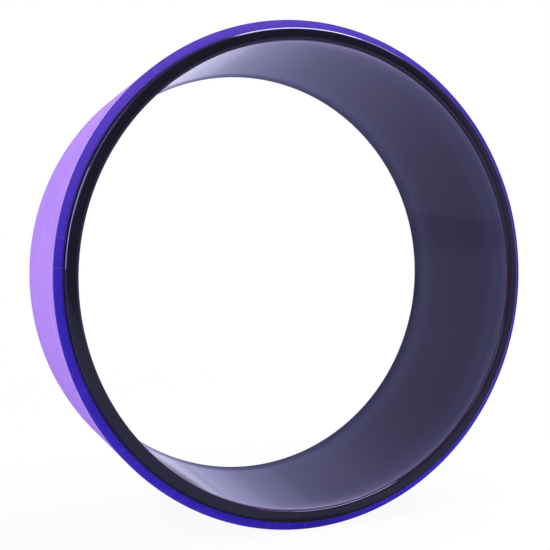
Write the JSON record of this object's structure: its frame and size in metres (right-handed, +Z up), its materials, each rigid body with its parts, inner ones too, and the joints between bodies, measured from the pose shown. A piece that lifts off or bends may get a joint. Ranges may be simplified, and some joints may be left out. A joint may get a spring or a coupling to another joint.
{
  "type": "yoga wheel",
  "caption": "Yoga wheel: a wide plastic ring with rounded, slightly proud end rims, wrapped in a ribbed two-tone foam mat.",
  "frame": {"origin": "middle of the wheel, on its axis and halfway across its width", "axes": "+Y along the wheel's axis, towards the rear ring; +Z up, with the wheel standing on its tread"},
  "size_m": [0.33, 0.127, 0.33],
  "materials": {
    "drum_plastic": "glossy black with a violet cast",
    "ring_plastic": "satin black, moulded",
    "adhesive": "dark cured contact adhesive",
    "foam": "cut closed-cell foam, indigo",
    "skin": "matt ribbed foam skin, lilac"
  },
  "bodies": {
    "root": {"drum": "drum_plastic", "front_ring": "ring_plastic", "rear_ring": "ring_plastic", "glue_film": "adhesive", "mat_foam": "foam", "mat_skin": "skin"}
  },
  "joints": []
}
